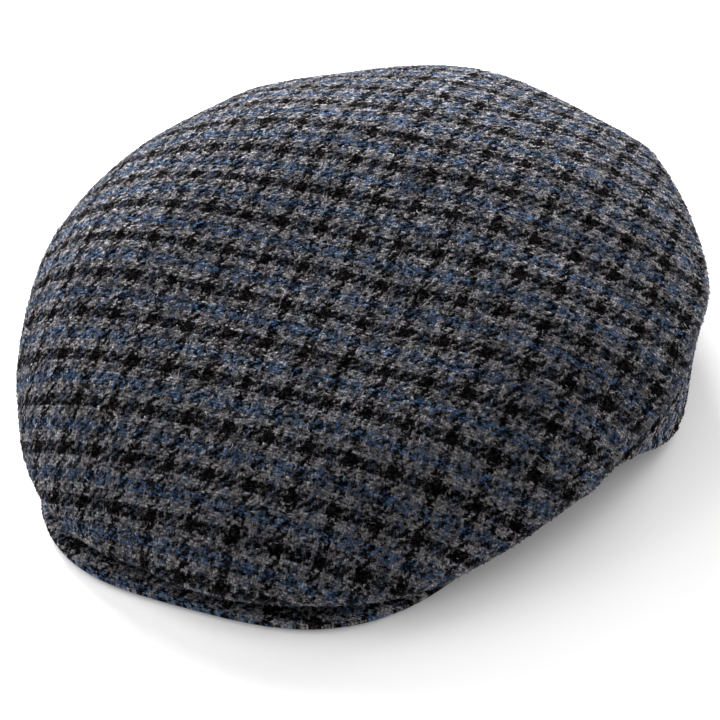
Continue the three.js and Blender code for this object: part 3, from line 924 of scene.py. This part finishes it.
def wool_material(name, check, brushing=0.45, raggedness=0.3, tone_and_shade=1.0, relief=0.6):
    """Wool cloth: the woven check on the piece's own cloth map, dull, with a faint cool sheen."""
    material = bpy.data.materials.new(name)
    material.use_nodes = True
    tree = material.node_tree
    w = Wires(tree)
    shader = tree.nodes["Principled BSDF"]
    shader.inputs["Roughness"].default_value = WOOL_ROUGHNESS
    shader.inputs["Specular IOR Level"].default_value = 0.0
    shader.inputs["Sheen Weight"].default_value = WOOL_SHEEN
    shader.inputs["Sheen Roughness"].default_value = SHEEN_ROUGHNESS
    shader.inputs["Sheen Tint"].default_value = SHEEN_TINT
    place_on_cloth = tree.nodes.new("ShaderNodeUVMap")
    place_on_cloth.uv_map = "cloth"
    weave = tree.nodes.new("ShaderNodeGroup")
    weave.node_tree = check
    w.join(place_on_cloth.outputs[0], weave.inputs["Cloth"])
    values = {
        "Warp Spacing": WARP_THREAD,
        "Weft Spacing": WEFT_THREAD,
        "Brushing": brushing,
        "Raggedness": raggedness,
        "Tone And Shade": tone_and_shade,
        "Black Yarn": BLACK_WOOL,
        "Grey Yarn": GREY_WOOL,
        "Blue Warp": BLUE_WARP_WOOL,
        "Blue Weft": BLUE_WEFT_WOOL,
    }
    for key, value in values.items():
        weave.inputs[key].default_value = value
    # Painted highlight along the seam's ridge and the lip, stronger on the high parts of the relief.
    highlight = painted_highlight_share(w, place_on_cloth.outputs[0])
    share = w.math("MULTIPLY", highlight, w.span(weave.outputs["Height"], *HIGHLIGHT_HEIGHTS, HIGHLIGHT_LOW, 1.0))
    w.join(w.blend(share, weave.outputs["Color"], PAINTED_HIGHLIGHT_WOOL), shader.inputs["Base Color"])
    bump = tree.nodes.new("ShaderNodeBump")
    bump.inputs["Strength"].default_value = 1.0
    bump.inputs["Distance"].default_value = relief * MM
    w.join(weave.outputs["Height"], bump.inputs["Height"])
    w.join(bump.outputs[0], shader.inputs["Normal"])
    return material


def nap_material(check):
    """The same wool as loose wisps: each has the colour of the yarn it comes from, lighter or darker."""
    # The wisps take the painted shade between threads and clumps of the place they grow from.
    material = wool_material("nap_wool", check, tone_and_shade=NAP_TONE_AND_SHADE, relief=0)
    tree = material.node_tree
    w = Wires(tree)
    shader = tree.nodes["Principled BSDF"]
    tree.nodes.remove(tree.nodes["Bump"])
    tone = tree.nodes.new("ShaderNodeAttribute")
    tone.attribute_name = "tone"
    lightness = w.span(w.math("POWER", tone.outputs["Fac"], WISP_TONE_POWER), 0, 1, *WISP_TONES)
    grey = tree.nodes.new("ShaderNodeCombineColor")
    for socket in grey.inputs:
        w.join(lightness, socket)
    weave = [node for node in tree.nodes if node.type == "GROUP"][0]
    fibre = w.blend(1.0, weave.outputs["Color"], grey.outputs[0], "MULTIPLY")
    place_on_cloth = [node for node in tree.nodes if node.type == "UVMAP"][0]
    # The wisps carry the painted edge highlight too, the palest ones most.
    share = w.math("MULTIPLY", painted_highlight_share(w, place_on_cloth.outputs[0]), tone.outputs["Fac"])
    w.join(w.blend(share, fibre, PAINTED_HIGHLIGHT_WOOL), shader.inputs["Base Color"])
    return material


def plain_material(name, colour, roughness):
    material = bpy.data.materials.new(name)
    material.use_nodes = True
    shader = material.node_tree.nodes["Principled BSDF"]
    shader.inputs["Base Color"].default_value = colour
    shader.inputs["Roughness"].default_value = roughness
    return material


# ---------------------------------------------------------------- studio

CAMERA_AZIMUTH = 29.3  # in degrees from the front
CAMERA_ELEVATION = 43.2
CAMERA_ROLL = -6.5
CAMERA_TARGET = (24.7, -42.2, 40.0)
CAMERA_DISTANCE = 545.2
CAMERA_LENS = 80.0
CAMERA_CLIP = 0.01  # in metres
FLOOR_SIZE = 6.0  # in metres
FLOOR_WHITE = (0.86, 0.855, 0.86, 1)
FLOOR_ROUGHNESS = 0.7
FLOOR_GLOW = 0.06


def add_camera():
    """A camera at an azimuth and elevation round its target, rolled about its own line of sight."""
    a = math.radians(CAMERA_AZIMUTH)
    e = math.radians(CAMERA_ELEVATION)
    r = math.radians(CAMERA_ROLL)
    back = np.array([math.sin(a) * math.cos(e), -math.cos(a) * math.cos(e), math.sin(e)])
    level = np.array([math.cos(a), math.sin(a), 0])
    upright = np.cross(back, level)
    right = level * math.cos(r) + upright * math.sin(r)
    up = upright * math.cos(r) - level * math.sin(r)
    eye = (np.array(CAMERA_TARGET) + back * CAMERA_DISTANCE) * MM
    data = bpy.data.cameras.new("camera")
    data.lens = CAMERA_LENS
    data.clip_start = CAMERA_CLIP
    camera = bpy.data.objects.new("camera", data)
    rows = [[right[k], up[k], back[k], eye[k]] for k in range(3)]
    camera.matrix_world = Matrix(rows + [[0, 0, 0, 1]])
    bpy.context.scene.collection.objects.link(camera)
    bpy.context.scene.camera = camera


def add_floor():
    """A plain pale table. It glows a little where the camera sees it, as a lit sweep does."""
    half = FLOOR_SIZE / 2
    mesh = bpy.data.meshes.new("floor")
    corners = [(-half, -half, 0), (half, -half, 0), (half, half, 0), (-half, half, 0)]
    mesh.from_pydata(corners, [], [(0, 1, 2, 3)])
    material = plain_material("pale_floor", FLOOR_WHITE, FLOOR_ROUGHNESS)
    w = Wires(material.node_tree)
    shader = material.node_tree.nodes["Principled BSDF"]
    seen = material.node_tree.nodes.new("ShaderNodeLightPath").outputs["Is Camera Ray"]
    shader.inputs["Emission Color"].default_value = (1, 1, 1, 1)
    w.join(w.math("MULTIPLY", seen, FLOOR_GLOW), shader.inputs["Emission Strength"])
    mesh.materials.append(material)
    floor = bpy.data.objects.new("floor", mesh)
    bpy.context.scene.collection.objects.link(floor)
    return floor


# Area lights: name, azimuth from the front, elevation, size in metres, watts.
LIGHTS = (
    ("window", 222, 15, 1.0, 88),
    ("back", 160, 15, 1.0, 25),
    ("left_fill", 268, 38, 1.0, 13),
    ("right_fill", 110, 25, 1.0, 2),
)
TABLE_LIGHT = ("table_light", 335, 62, 4.0, 43)  # lights the table alone, as a lit sweep is
LIGHT_DISTANCE = 1.5  # in metres
LIGHT_COLOUR = (1, 0.99, 0.98)
WORLD_COLOUR = (0.95, 0.98, 1, 1)
WORLD_STRENGTH = 0.1


def add_light(name, azimuth, elevation, size, watts):
    """A square area light that faces the cap from an azimuth and an elevation."""
    a = math.radians(azimuth)
    e = math.radians(elevation)
    away = np.array([math.sin(a) * math.cos(e), -math.cos(a) * math.cos(e), math.sin(e)])
    place_m = away * LIGHT_DISTANCE
    data = bpy.data.lights.new(name, "AREA")
    data.shape = "SQUARE"
    data.size = size
    data.energy = watts
    data.color = LIGHT_COLOUR
    light = bpy.data.objects.new(name, data)
    side = np.cross((0, 1, 0.01), away)
    side /= np.linalg.norm(side)
    rise = np.cross(away, side)
    rows = [[side[k], rise[k], away[k], place_m[k]] for k in range(3)]
    light.matrix_world = Matrix(rows + [[0, 0, 0, 1]])
    bpy.context.scene.collection.objects.link(light)
    light.visible_camera = False
    return light


def add_studio():
    """The table, the world, the lights on the cap, and one more that lights the table alone."""
    world = bpy.data.worlds.new("soft_white")
    world.use_nodes = True
    world.node_tree.nodes["Background"].inputs["Color"].default_value = WORLD_COLOUR
    world.node_tree.nodes["Background"].inputs["Strength"].default_value = WORLD_STRENGTH
    bpy.context.scene.world = world
    for row in LIGHTS:
        add_light(*row)
    table_only = bpy.data.collections.new("table_only")
    table_only.objects.link(add_floor())
    add_light(*TABLE_LIGHT).light_linking.receiver_collection = table_only
    bpy.context.scene.view_settings.view_transform = "Standard"


def build():
    check = woven_check_group()
    wool = wool_material("cap_wool", check)
    nap_wool = nap_material(check)
    crown = crown_piece(wool)
    left = side_piece("side_left_cloth", "side_left", SIDE_TIP_TURN, BACK_SEAM_TURN, wool)
    right = side_piece("side_right_cloth", "side_right", -BACK_SEAM_TURN, -SIDE_TIP_TURN, wool)
    peak = peak_piece(wool)
    nap_piece("crown_nap_1", 1, crown, CROWN_WISPS, WISP, nap_wool)
    nap_piece("crown_nap_2", 2, crown, CROWN_WISPS, WISP, nap_wool)
    nap_piece("crown_curls", 3, crown, CROWN_CURLS, CURL, nap_wool)
    nap_piece("crown_fuzz", 7, crown, CROWN_FUZZ, FUZZ, nap_wool)
    nap_piece("side_left_nap", 4, left, SIDE_WISPS, WISP, nap_wool)
    nap_piece("side_right_nap", 5, right, SIDE_WISPS, WISP, nap_wool)
    nap_piece("peak_nap", 6, peak, PEAK_WISPS, WISP, nap_wool)
    add_camera()
    add_studio()


build()
